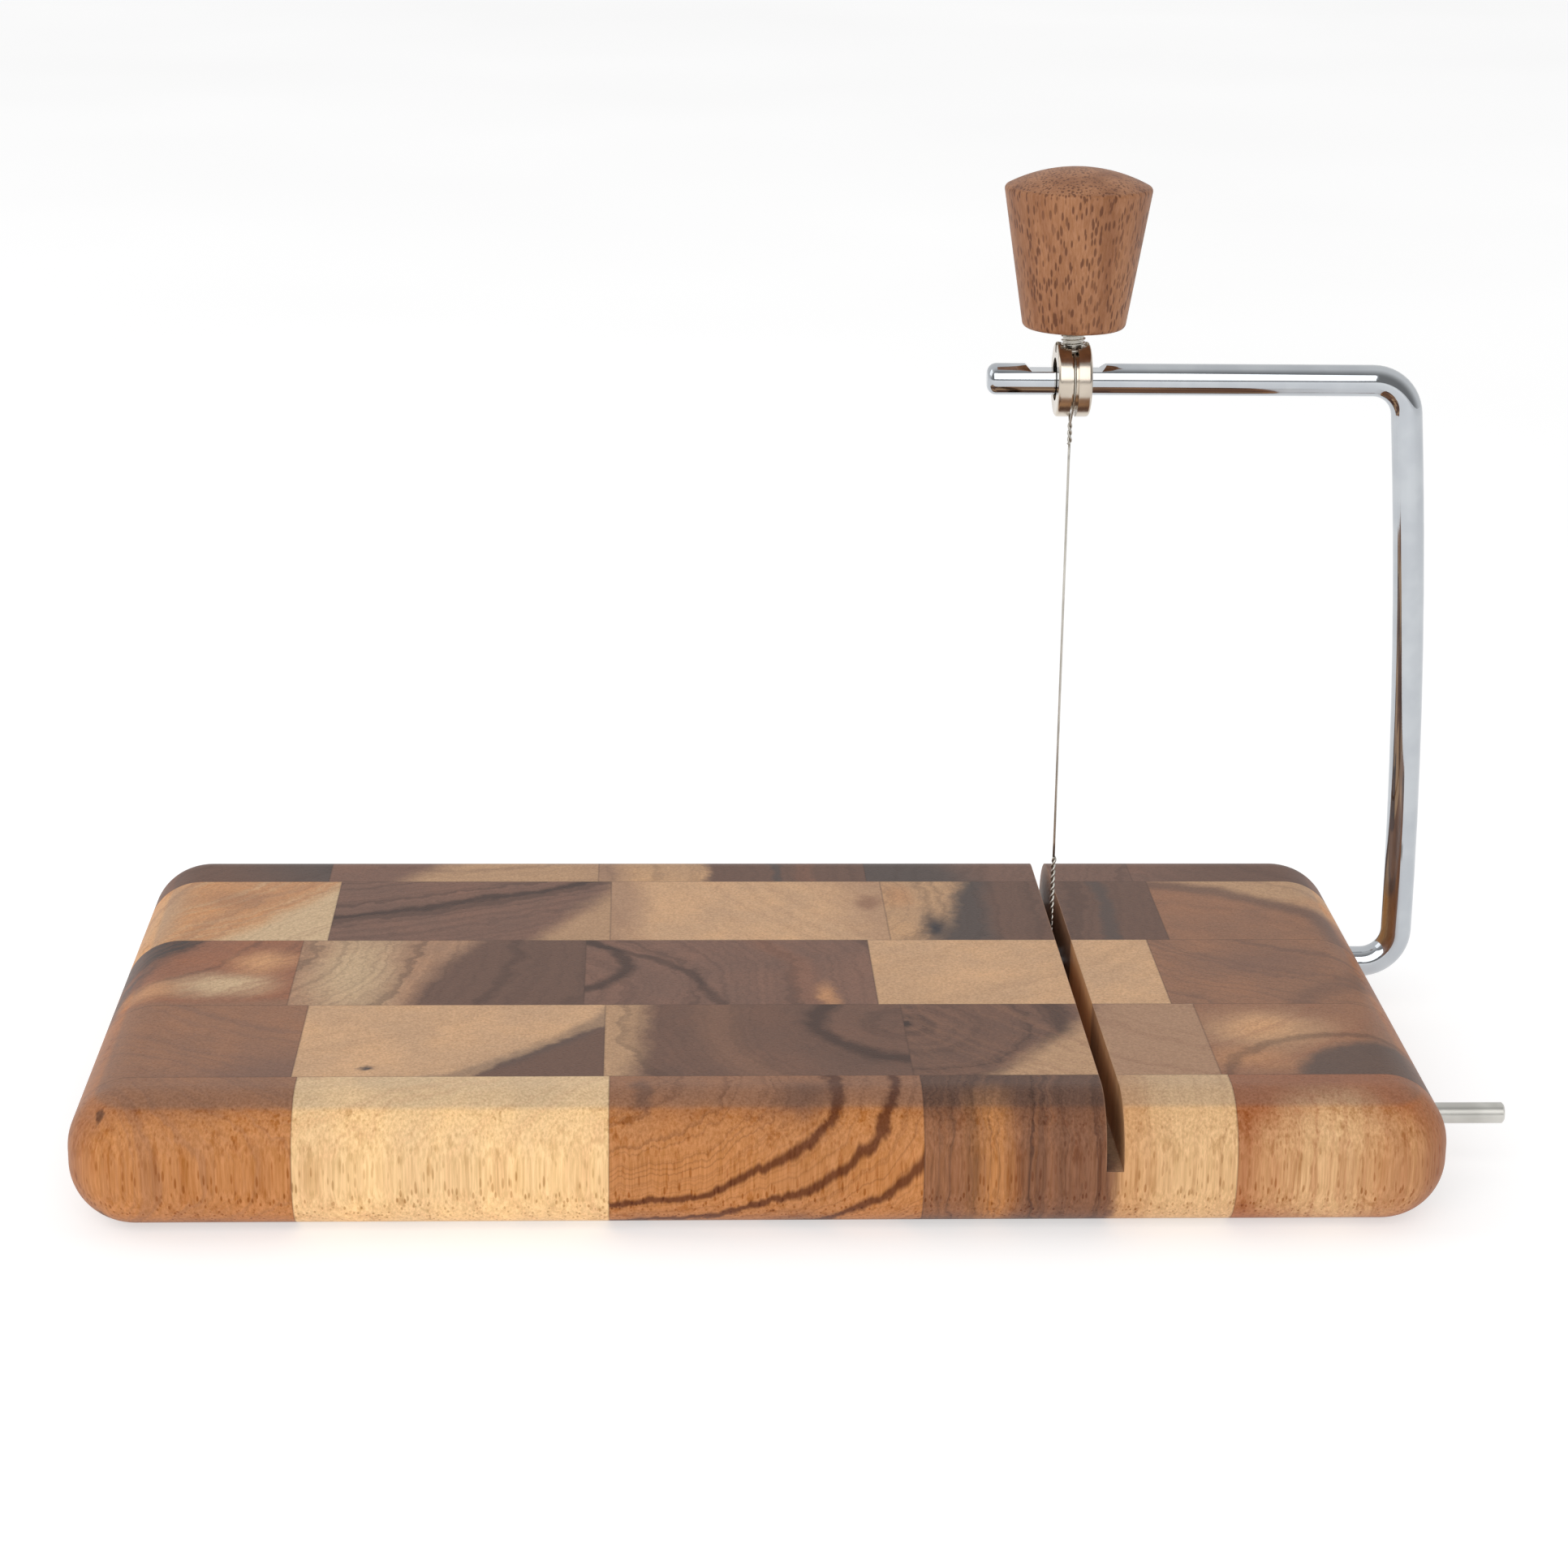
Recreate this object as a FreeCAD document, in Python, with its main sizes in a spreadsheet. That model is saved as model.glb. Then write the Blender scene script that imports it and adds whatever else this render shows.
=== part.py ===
"""Cheese wire cutter: an end-grain board with a hinged wire arm.

Frame: origin at the centre of the board's underside, +X along the board towards the arm's
pivot side, +Y towards the back edge, +Z up.  Millimetres.  The arm is stored upright.
"""
import FreeCAD, Part
import math
import os
import Sketcher

OUT = "parts"
os.makedirs(OUT, exist_ok=True)

doc = FreeCAD.newDocument("cheese_wire_cutter")
sheet = doc.addObject("Spreadsheet::Sheet", "dims")
V = FreeCAD.Vector

# ---------------------------------------------------------------------------
# Driving dimensions
# ---------------------------------------------------------------------------
DIMENSIONS = {
    # board of glued end-grain blocks
    "board_length": 254.0,
    "board_width": 146.0,
    "board_thickness": 26.0,
    "corner_radius": 12.6,
    "edge_radius": 11.7,
    "row_width": 36.2,
    "row_joint_front": -57.2,
    "block_length": 57.2,
    "row_a_start": -88.6,
    "row_b_start": -85.8,
    "row_c_start": -90.6,
    "row_d_start": -86.4,
    "row_e_start": -85.3,
    # saw slot that the wire drops into
    "slot_x": 63.9,
    "slot_width": 3.2,
    "slot_floor": 13.4,
    "saw_dip_floor": 9.2,
    "saw_dip_radius": 40.0,
    # bent rod arm
    "pivot_y": 36.0,
    "pivot_z": 13.5,
    "rod_radius": 3.175,
    "leg_inner_x": 50.0,
    "bend_centre_x": 129.75,
    "bend_radius": 7.3,
    "bow_radius": 1221.0,
    "arm_radius": 124.5,
    "tip_x": 46.8,
    "tip_rounding": 1.9,
    "flat_start_x": 55.6,
    "flat_end_x": 69.6,
    "flat_depth": 1.25,
    "flat_ramp": 1.9,
    "wire_seat_width": 1.2,
    "wire_seat_depth": 0.35,
    "leg_clearance": 0.05,
    # stop pin in the board's side
    "pin_y": -45.0,
    "pin_z": 13.0,
    "pin_radius": 2.0,
    "pin_inner_x": 103.0,
    "pin_outer_x": 141.6,
    "pin_chamfer": 0.35,
    # tension collar
    "collar_radius": 7.5,
    "collar_width": 6.8,
    "collar_bore": 4.3,
    "collar_rounding": 0.6,
    "groove_width": 1.4,
    "groove_floor": 6.2,
    "seat_radius": 3.5,
    "seat_height": 5.4,
    # screw stud and knob
    "stud_radius": 2.5,
    "stud_clearance": 0.05,
    "stud_tip_gap": 0.05,
    "stud_top": 163.0,
    "stud_chamfer": 0.6,
    "knob_foot_z": 148.5,
    "knob_foot_radius": 10.2,
    "knob_rim_radius": 14.7,
    "knob_side": 27.9,
    "knob_dome": 3.8,
    "knob_bore_depth": 15.0,
    "knob_foot_rounding": 1.2,
    "knob_rim_rounding": 0.9,
    # cutting wire
    "wire_radius": 0.25,
    "twist_radius": 0.48,
    "lower_loop_radius": 3.13,
    "lower_fork": 5.2,
    "lower_twist_top": 23.3,
    "upper_loop_radius": 6.5,
    "upper_fork": 8.9,
    "upper_twist_bottom": 13.4,
    "eye_radius": 3.05,
}
for row, (alias, number) in enumerate(DIMENSIONS.items(), start=1):
    sheet.set(f"A{row}", alias)
    sheet.set(f"B{row}", str(number))
    sheet.setAlias(f"B{row}", alias)
doc.recompute()


def value(expression):
    """Number that an expression on the sheet gives."""
    answer = sheet.evalExpression(expression)
    return float(getattr(answer, "Value", answer))


def bind(obj, **sizes):
    """Tie properties of an object to expressions on the sheet."""
    for name, expression in sizes.items():
        obj.setExpression(name.replace("__", "."), expression)


def place(obj, x="0", y="0", z="0", axis=None, angle=0.0):
    """Turn an object, then tie its position to the sheet."""
    if axis is not None:
        obj.Placement = FreeCAD.Placement(V(0, 0, 0), FreeCAD.Rotation(axis, angle))
    bind(obj, Placement__Base__x=x, Placement__Base__y=y, Placement__Base__z=z)


def new_body(label):
    body = doc.addObject("PartDesign::Body", label)
    body.Label = label
    return body


def new_sketch(body, role, name):
    """Sketch on one of the body's own origin planes."""
    plane = next(o for o in body.Origin.OriginFeatures if o.Role == role)
    sketch = body.newObject("Sketcher::SketchObject", name)
    sketch.AttachmentSupport = (plane, [""])
    sketch.MapMode = "FlatFace"
    return sketch


def pin_down(sketch, geometry, end, x, y):
    """Hold one point of a sketch at sheet expressions x and y."""
    for kind, expression, axis in (("DistanceX", x, -2), ("DistanceY", y, -1)):
        if expression == "0":
            sketch.addConstraint(Sketcher.Constraint("PointOnObject", geometry, end, axis))
            continue
        number = sketch.addConstraint(
            Sketcher.Constraint(kind, -1, 1, geometry, end, value(expression)))
        name = f"at_{geometry}_{end}_{kind[-1]}"
        sketch.renameConstraint(number, name)
        sketch.setExpression(f"Constraints.{name}", expression)


def outline(sketch, corners, dome=None):
    """Closed outline through corners given as sheet expressions.

    The side that starts at corner number dome is an arc centred on the sketch's vertical axis.
    """
    points = [V(value(x), value(y), 0) for x, y in corners]
    count = len(points)
    for i, start in enumerate(points):
        end = points[(i + 1) % count]
        if i == dome:
            rise = end.y - start.y
            radius = (start.x ** 2 + rise ** 2) / (2 * rise)
            circle = Part.Circle(V(0, end.y - radius, 0), V(0, 0, 1), radius)
            first = math.atan2(start.y - end.y + radius, start.x)
            sketch.addGeometry(Part.ArcOfCircle(circle, first, math.pi / 2))
        else:
            sketch.addGeometry(Part.LineSegment(start, end))
    for i in range(count):
        sketch.addConstraint(Sketcher.Constraint("Coincident", i, 2, (i + 1) % count, 1))
    for i, (x, y) in enumerate(corners):
        pin_down(sketch, i, 1, x, y)
    if dome is not None:
        sketch.addConstraint(Sketcher.Constraint("PointOnObject", dome, 3, -2))


def circle_sketch(body, role, name, radius, x="0", y="0"):
    sketch = new_sketch(body, role, name)
    centre = V(value(x), value(y), 0)
    sketch.addGeometry(Part.Circle(centre, V(0, 0, 1), value(radius)))
    pin_down(sketch, 0, 3, x, y)
    number = sketch.addConstraint(Sketcher.Constraint("Radius", 0, value(radius)))
    sketch.renameConstraint(number, "radius")
    sketch.setExpression("Constraints.radius", radius)
    return sketch


def revolve(body, sketch, axis, cut=False):
    kind = "PartDesign::Groove" if cut else "PartDesign::Revolution"
    feature = body.newObject(kind, sketch.Name + "_turned")
    feature.Profile = sketch
    feature.ReferenceAxis = (sketch, [axis])
    feature.Angle = 360.0
    doc.recompute()
    return feature


def edges_where(shape, test):
    """Names of the edges that pass a test."""
    return [f"Edge{i}" for i, edge in enumerate(shape.Edges, start=1) if test(edge)]


def fillet(body, base, test, radius):
    names = edges_where(base.Shape, test)
    if not names:
        raise RuntimeError(f"no edge to round on {body.Label}")
    feature = body.newObject("PartDesign::Fillet", base.Name + "_rounded")
    feature.Base = (base, names)
    feature.Radius = value(radius)
    bind(feature, Radius=radius)
    doc.recompute()
    return feature


def is_ring(edge, radius, offset, direction):
    """A circular edge of this radius, its centre this far along the direction."""
    if edge.Degenerated or not isinstance(edge.Curve, Part.Circle):
        return False
    curve = edge.Curve
    return abs(curve.Radius - radius) < 1e-3 and abs(curve.Center.dot(direction) - offset) < 1e-3


def expect_less(before, after, what):
    if not after.Volume < before.Volume - 1e-3:
        raise RuntimeError(f"{what} removed nothing")


def box(name, x, y, z, length, width, height):
    obj = doc.addObject("Part::Box", name)
    bind(obj, Length=length, Width=width, Height=height)
    place(obj, x, y, z)
    return obj


def rod(name, x, y, z, radius, length, axis=None, angle=0.0):
    obj = doc.addObject("Part::Cylinder", name)
    bind(obj, Radius=radius, Height=length)
    place(obj, x, y, z, axis, angle)
    return obj


def ring(name, z, radius, upright=True, begin="0deg", sweep="360deg"):
    """Ring of wire on the wire's line at height z.

    An upright ring lies in the wire's plane, and its angles run from straight down over the back.
    """
    obj = doc.addObject("Part::Torus", name)
    turn = FreeCAD.Rotation(V(0, 0, 1), value(begin))
    if upright:
        turn = FreeCAD.Rotation(V(0, 1, 0), 90).multiply(turn)
    obj.Placement = FreeCAD.Placement(V(0, 0, 0), turn)
    bind(obj, Radius1=radius, Radius2="dims.wire_radius", Angle3=sweep,
         Placement__Base__x="dims.slot_x", Placement__Base__y="dims.pivot_y", Placement__Base__z=z)
    return obj


def fuse(name, pieces):
    obj = doc.addObject("Part::MultiFuse", name)
    obj.Shapes = pieces
    obj.Label = name
    return obj


subparts = []

# ---------------------------------------------------------------------------
# Board: rounded slab, slot, rod bore and pin hole, then one solid per glued block
# ---------------------------------------------------------------------------
form = new_body("board_form")
plan = new_sketch(form, "XY_Plane", "board_plan")
half_x, half_y = "dims.board_length / 2", "dims.board_width / 2"
outline(plan, [("-" + half_x, "-" + half_y), (half_x, "-" + half_y),
               (half_x, half_y), ("-" + half_x, half_y)])
slab = form.newObject("PartDesign::Pad", "slab")
slab.Profile = plan
bind(slab, Length="dims.board_thickness")
doc.recompute()


def is_upright(edge):
    first, last = edge.Vertexes[0].Point, edge.Vertexes[-1].Point
    return abs(first.z - last.z) > 1.0


corners = fillet(form, slab, is_upright, "dims.corner_radius")


def is_rim(edge):
    return all(abs(v.Point.z - edge.Vertexes[0].Point.z) < 1e-6 for v in edge.Vertexes)


bullnose = fillet(form, corners, is_rim, "dims.edge_radius")

slot = box("slot_cut", "dims.slot_x - dims.slot_width / 2", "-dims.board_width / 2 - 1",
           "dims.slot_floor", "dims.slot_width", "dims.board_width + 2", "dims.board_thickness")
dip = rod("saw_dip", "dims.slot_x - dims.slot_width / 2", "dims.pivot_y",
          "dims.saw_dip_floor + dims.saw_dip_radius", "dims.saw_dip_radius", "dims.slot_width",
          V(0, 1, 0), 90)
bore = rod("leg_bore", "dims.leg_inner_x - 1", "dims.pivot_y", "dims.pivot_z",
           "dims.rod_radius + dims.leg_clearance", "dims.board_length / 2 - dims.leg_inner_x + 3",
           V(0, 1, 0), 90)
hole = rod("pin_hole", "dims.pin_inner_x - 0.5", "dims.pin_y", "dims.pin_z",
           "dims.pin_radius + 0.02", "dims.board_length / 2 - dims.pin_inner_x + 3",
           V(0, 1, 0), 90)
cutters = fuse("board_cutters", [slot, dip, bore, hole])
board = doc.addObject("Part::Cut", "board_cut")
board.Base = form
board.Tool = cutters
doc.recompute()
expect_less(form.Shape, board.Shape, "the slot and bores")

ROWS = "abcde"
COLUMNS = 5
for number, letter in enumerate(ROWS):
    # row a lies along the back edge, row e along the front edge
    joint = f"dims.row_joint_front + {len(ROWS) - 2 - number} * dims.row_width"
    low = "-dims.board_width / 2 - 1" if letter == ROWS[-1] else joint
    high = "dims.board_width / 2 + 1" if letter == ROWS[0] else joint + " + dims.row_width"
    for column in range(1, COLUMNS + 1):
        left = f"dims.row_{letter}_start + {column - 2} * dims.block_length"
        right = left + " + dims.block_length"
        if column == 1:
            left, right = "-dims.board_length / 2 - 1", f"dims.row_{letter}_start"
        if column == COLUMNS:
            right = "dims.board_length / 2 + 1"
        cell = box(f"cell_{letter}{column}", left, low, "-1", f"({right}) - ({left})",
                   f"({high}) - ({low})", "dims.board_thickness + 2")
        block = doc.addObject("Part::Common", f"board_block_{letter}{column}")
        block.Base = board
        block.Tool = cell
        block.Label = f"board_block_{letter}{column}"
        subparts.append(block)
doc.recompute()

# ---------------------------------------------------------------------------
# Stop pin: a plain dowel with broken ends, fixed in the board's right side
# ---------------------------------------------------------------------------
pin = new_body("stop_pin")
pin_half = new_sketch(pin, "XZ_Plane", "pin_half")
pin_length = "dims.pin_outer_x - dims.pin_inner_x"
outline(pin_half, [("0", "0"), (pin_length, "0"),
                   (pin_length, "dims.pin_radius - dims.pin_chamfer"),
                   (pin_length + " - dims.pin_chamfer", "dims.pin_radius"),
                   ("dims.pin_chamfer", "dims.pin_radius"),
                   ("0", "dims.pin_radius - dims.pin_chamfer")])
revolve(pin, pin_half, "H_Axis")
place(pin, "dims.pin_inner_x", "dims.pin_y", "dims.pin_z")
subparts.append(pin)

# ---------------------------------------------------------------------------
# Arm: one rod bent into a C, with a slight bow, a flat for the stud and a seat for the wire
# ---------------------------------------------------------------------------
arm = new_body("cutter_arm")
path = new_sketch(arm, "XZ_Plane", "arm_path")
bend, bow = value("dims.bend_radius"), value("dims.bow_radius")
corner_x, reach = value("dims.bend_centre_x"), value("dims.arm_radius")
lean = math.asin((reach - 2 * bend) / (bow - bend))
bow_centre = V(corner_x + bend - bow, bend, 0)
top_centre = bow_centre + V(math.cos(lean), math.sin(lean), 0) * (bow - bend)
path.addGeometry(Part.LineSegment(V(value("dims.leg_inner_x"), 0, 0), V(corner_x, 0, 0)))
path.addGeometry(Part.ArcOfCircle(Part.Circle(V(corner_x, bend, 0), V(0, 0, 1), bend),
                                  -math.pi / 2, 0))
path.addGeometry(Part.ArcOfCircle(Part.Circle(bow_centre, V(0, 0, 1), bow), 0, lean))
path.addGeometry(Part.ArcOfCircle(Part.Circle(top_centre, V(0, 0, 1), bend), lean, math.pi / 2))
path.addGeometry(Part.LineSegment(V(top_centre.x, reach, 0), V(value("dims.tip_x"), reach, 0)))
for first, second in ((0, 1), (1, 2), (2, 3), (3, 4)):
    path.addConstraint(Sketcher.Constraint("Tangent", first, 2, second, 1))
path.addConstraint(Sketcher.Constraint("Horizontal", 0))
path.addConstraint(Sketcher.Constraint("Horizontal", 4))
path.addConstraint(Sketcher.Constraint("Horizontal", 1, 3, 1, 2))
pin_down(path, 0, 1, "dims.leg_inner_x", "0")
pin_down(path, 4, 2, "dims.tip_x", "dims.arm_radius")
for geometry, name, expression in ((1, "lower_bend", "dims.bend_radius"),
                                   (2, "bow", "dims.bow_radius"),
                                   (3, "upper_bend", "dims.bend_radius")):
    number = path.addConstraint(Sketcher.Constraint("Radius", geometry, value(expression)))
    path.renameConstraint(number, name)
    path.setExpression(f"Constraints.{name}", expression)
number = path.addConstraint(Sketcher.Constraint("DistanceX", -1, 1, 1, 3, corner_x))
path.renameConstraint(number, "bend_centre")
path.setExpression("Constraints.bend_centre", "dims.bend_centre_x")

section = circle_sketch(arm, "YZ_Plane", "rod_section", "dims.rod_radius")
section.setExpression("AttachmentOffset.Base.z", "dims.leg_inner_x")
doc.recompute()
bent = arm.newObject("PartDesign::AdditivePipe", "bent_rod")
bent.Profile = section
bent.Spine = (path, [f"Edge{i}" for i in range(1, 6)])
doc.recompute()


def is_rod_end(x):
    def test(edge):
        ends = edge.BoundBox
        return abs(ends.XMin - x) < 1e-3 and abs(ends.XMax - x) < 1e-3
    return test


rounded = fillet(arm, bent, is_rod_end(value("dims.tip_x")), "dims.tip_rounding")
eased = fillet(arm, rounded, is_rod_end(value("dims.leg_inner_x")), "dims.collar_rounding")

top = "dims.arm_radius + dims.rod_radius"
level = top + " - dims.flat_depth"
flat_side = new_sketch(arm, "XZ_Plane", "flat_side")
outline(flat_side, [("dims.flat_start_x", level), ("dims.flat_end_x", level),
                    ("dims.flat_end_x + 2 * dims.flat_ramp", level + " + 2 * dims.flat_ramp"),
                    ("dims.flat_start_x - 2 * dims.flat_ramp", level + " + 2 * dims.flat_ramp")])
flat = arm.newObject("PartDesign::Pocket", "stud_flat")
flat.Profile = flat_side
flat.Midplane = True
bind(flat, Length="4 * dims.rod_radius")
doc.recompute()
expect_less(eased.Shape, flat.Shape, "the stud flat")

seat_side = new_sketch(arm, "XZ_Plane", "wire_seat_side")
seat_low = "dims.rod_radius - dims.wire_seat_depth"
seat_from = "dims.slot_x - dims.wire_seat_width / 2"
seat_to = "dims.slot_x + dims.wire_seat_width / 2"
outline(seat_side, [(seat_from, seat_low), (seat_to, seat_low),
                    (seat_to, "dims.rod_radius + 1"), (seat_from, "dims.rod_radius + 1")])
seat = revolve(arm, seat_side, "H_Axis", cut=True)
expect_less(flat.Shape, seat.Shape, "the wire seat")
place(arm, "0", "dims.pivot_y", "dims.pivot_z")
subparts.append(arm)

# ---------------------------------------------------------------------------
# Tension collar: a grooved ring round the upper leg, bored for the stud on top
# ---------------------------------------------------------------------------
axis_z = "dims.pivot_z + dims.arm_radius"
collar = new_body("tension_collar")
half = new_sketch(collar, "XZ_Plane", "collar_half")
side, lip = "dims.collar_width / 2", "dims.groove_width / 2"
outline(half, [("-" + side, "dims.collar_bore"), (side, "dims.collar_bore"),
               (side, "dims.collar_radius"), (lip, "dims.collar_radius"),
               (lip, "dims.groove_floor"), ("-" + lip, "dims.groove_floor"),
               ("-" + lip, "dims.collar_radius"), ("-" + side, "dims.collar_radius")])
turned = revolve(collar, half, "H_Axis")


def is_collar_edge(edge):
    outer = is_ring(edge, value("dims.collar_radius"), value(side), V(1, 0, 0))
    return outer or is_ring(edge, value("dims.collar_radius"), -value(side), V(1, 0, 0))


softened = fillet(collar, turned, is_collar_edge, "dims.collar_rounding")

for name, radius, floor in (("stud_hole", "dims.stud_radius + dims.stud_clearance", "0"),
                            ("wire_eye_seat", "dims.seat_radius", "dims.seat_height")):
    base = collar.Tip
    disc = circle_sketch(collar, "XY_Plane", name + "_disc", radius)
    disc.setExpression("AttachmentOffset.Base.z", floor)
    cut = collar.newObject("PartDesign::Pocket", name)
    cut.Profile = disc
    cut.Reversed = True
    bind(cut, Length="dims.collar_radius + 1")
    doc.recompute()
    expect_less(base.Shape, cut.Shape, name)
place(collar, "dims.slot_x", "dims.pivot_y", axis_z)
subparts.append(collar)

# ---------------------------------------------------------------------------
# Stud: its lower tip bears on the arm's flat, its upper end is fixed in the knob
# ---------------------------------------------------------------------------
tip_z = axis_z + " + dims.rod_radius - dims.flat_depth + dims.stud_tip_gap"
stud = new_body("knob_stud")
stud_half = new_sketch(stud, "XZ_Plane", "stud_half")
length = "dims.stud_top - (" + tip_z + ")"
outline(stud_half, [("0", "0"), ("dims.stud_radius - dims.stud_chamfer", "0"),
                    ("dims.stud_radius", "dims.stud_chamfer"),
                    ("dims.stud_radius", length + " - dims.stud_chamfer"),
                    ("dims.stud_radius - dims.stud_chamfer", length), ("0", length)])
revolve(stud, stud_half, "V_Axis")
place(stud, "dims.slot_x", "dims.pivot_y", tip_z)
subparts.append(stud)

# ---------------------------------------------------------------------------
# Knob: turned wood, wider at the top, with a low dome
# ---------------------------------------------------------------------------
knob = new_body("knob")
knob_half = new_sketch(knob, "XZ_Plane", "knob_half")
bore_radius = "dims.stud_radius + 0.02"
outline(knob_half, [(bore_radius, "0"), ("dims.knob_foot_radius", "0"),
                    ("dims.knob_rim_radius", "dims.knob_side"),
                    ("0", "dims.knob_side + dims.knob_dome"),
                    ("0", "dims.knob_bore_depth"), (bore_radius, "dims.knob_bore_depth")], dome=2)
knob_turned = revolve(knob, knob_half, "V_Axis")
foot = fillet(knob, knob_turned,
              lambda e: is_ring(e, value("dims.knob_foot_radius"), 0, V(0, 0, 1)),
              "dims.knob_foot_rounding")
fillet(knob, foot,
       lambda e: is_ring(e, value("dims.knob_rim_radius"), value("dims.knob_side"), V(0, 0, 1)),
       "dims.knob_rim_rounding")
place(knob, "dims.slot_x", "dims.pivot_y", "dims.knob_foot_z")
subparts.append(knob)


# ---------------------------------------------------------------------------
# Cutting wire: a loop and a twist at each end, and the single strand between them
# ---------------------------------------------------------------------------
def strands(name, centre_z, loop, fork):
    """Two straight strands from the fork point on the wire's line to the sides of a loop.

    A positive fork lies above the loop's centre and a negative one below it.
    """
    tilt = value(f"asin({loop} / abs({fork}))")
    pieces = []
    for side_name, side_sign in (("front", -1), ("back", 1)):
        turn = 180 - tilt if value(fork) > 0 else tilt
        pieces.append(rod(f"{name}_{side_name}", "dims.slot_x", "dims.pivot_y",
                          f"{centre_z} + ({fork})", "dims.wire_radius",
                          f"sqrt(({fork})^2 - ({loop})^2)", V(1, 0, 0), -side_sign * turn))
    return pieces


lower_leave = "acos(dims.lower_loop_radius / dims.lower_fork)"
lower = strands("lower_strand", "dims.pivot_z", "dims.lower_loop_radius", "dims.lower_fork")
lower.append(ring("lower_loop", "dims.pivot_z", "dims.lower_loop_radius",
                  begin=f"{lower_leave} - 180deg", sweep=f"360deg - 2 * {lower_leave}"))
lower.append(rod("lower_twist", "dims.slot_x", "dims.pivot_y",
                 "dims.pivot_z + dims.lower_fork - dims.twist_radius", "dims.twist_radius",
                 "dims.lower_twist_top - dims.lower_fork + dims.twist_radius"))
subparts.append(fuse("wire_lower_end", lower))

span_foot = "dims.pivot_z + dims.lower_twist_top"
span_head = axis_z + " - dims.upper_twist_bottom"
span = rod("wire_span", "dims.slot_x", "dims.pivot_y", span_foot, "dims.wire_radius",
           f"({span_head}) - ({span_foot})")
span.Label = "wire_span"
subparts.append(span)

# the upper loop lies in the collar's groove and ends in an eye round the stud's foot
eye_height = f"{axis_z} + sqrt(dims.upper_loop_radius^2 - dims.eye_radius^2)"
upper_leave = "acos(dims.upper_loop_radius / dims.upper_fork)"
arrive = "asin(dims.eye_radius / dims.upper_loop_radius)"
upper = strands("upper_strand", axis_z, "dims.upper_loop_radius", "-dims.upper_fork")
upper.append(ring("groove_strand_back", axis_z, "dims.upper_loop_radius",
                  begin=upper_leave, sweep=f"180deg - {upper_leave} - {arrive}"))
upper.append(ring("groove_strand_front", axis_z, "dims.upper_loop_radius",
                  begin=f"{arrive} - 180deg", sweep=f"180deg - {upper_leave} - {arrive}"))
upper.append(ring("wire_eye", eye_height, "dims.eye_radius", upright=False))
upper.append(rod("upper_twist", "dims.slot_x", "dims.pivot_y", span_head, "dims.twist_radius",
                 "dims.upper_twist_bottom - dims.upper_fork + dims.twist_radius"))
subparts.append(fuse("wire_upper_end", upper))

# ---------------------------------------------------------------------------
# Checks and export
# ---------------------------------------------------------------------------
doc.recompute()
for obj in doc.Objects:
    if "Invalid" in obj.State or "Error" in obj.State:
        raise RuntimeError(f"{obj.Label} failed: {obj.State}")
for obj in subparts:
    shape = obj.Shape
    if shape.isNull() or not shape.isValid():
        raise RuntimeError(f"{obj.Label} has no valid shape")
    if len(shape.Solids) != 1:
        raise RuntimeError(f"{obj.Label} has {len(shape.Solids)} solids")
    shape.Solids[0].exportStep(os.path.join(OUT, obj.Label + ".step"))
    span = shape.BoundBox
    print(f"{obj.Label:18s} {shape.Volume:10.1f} mm3  X {span.XMin:7.2f}..{span.XMax:7.2f}"
          f"  Y {span.YMin:7.2f}..{span.YMax:7.2f}  Z {span.ZMin:7.2f}..{span.ZMax:7.2f}")
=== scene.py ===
import bpy
import bmesh
import math
from mathutils import Matrix, Vector


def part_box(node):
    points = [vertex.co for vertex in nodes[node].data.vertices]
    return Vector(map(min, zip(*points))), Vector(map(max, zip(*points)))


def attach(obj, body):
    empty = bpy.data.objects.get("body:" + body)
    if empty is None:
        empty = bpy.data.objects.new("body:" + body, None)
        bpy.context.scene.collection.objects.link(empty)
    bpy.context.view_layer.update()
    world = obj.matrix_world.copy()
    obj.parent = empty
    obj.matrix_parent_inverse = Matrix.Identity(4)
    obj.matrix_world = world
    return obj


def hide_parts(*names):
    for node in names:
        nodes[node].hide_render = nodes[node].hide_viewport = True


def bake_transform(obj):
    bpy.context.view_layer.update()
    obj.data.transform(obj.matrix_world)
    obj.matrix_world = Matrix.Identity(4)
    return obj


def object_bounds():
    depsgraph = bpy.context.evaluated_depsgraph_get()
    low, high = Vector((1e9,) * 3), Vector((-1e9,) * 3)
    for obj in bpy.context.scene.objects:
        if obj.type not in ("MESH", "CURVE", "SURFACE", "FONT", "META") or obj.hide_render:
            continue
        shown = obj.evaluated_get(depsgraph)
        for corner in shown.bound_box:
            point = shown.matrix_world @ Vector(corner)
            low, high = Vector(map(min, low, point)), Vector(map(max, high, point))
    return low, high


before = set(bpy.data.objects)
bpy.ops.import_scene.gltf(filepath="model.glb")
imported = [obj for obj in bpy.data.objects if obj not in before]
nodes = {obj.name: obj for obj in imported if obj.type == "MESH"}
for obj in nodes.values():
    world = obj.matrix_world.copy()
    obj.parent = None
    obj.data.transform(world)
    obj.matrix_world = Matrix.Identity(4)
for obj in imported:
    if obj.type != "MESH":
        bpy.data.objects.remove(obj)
cad_low, cad_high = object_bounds()

# the wire's line at rest, in metres
span_low, span_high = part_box("wire_span")
line = Vector(((span_low.x + span_high.x) / 2, (span_low.y + span_high.y) / 2, 0.0))
# half the width of the slot sawn on that line, and its floor's height, in millimetres
SLOT_HALF = 1.6
SLOT_FLOOR = 13.4

# ---------------------------------------------------------------------------
# Colours, as a maker would mix them on screen
# ---------------------------------------------------------------------------


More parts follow.
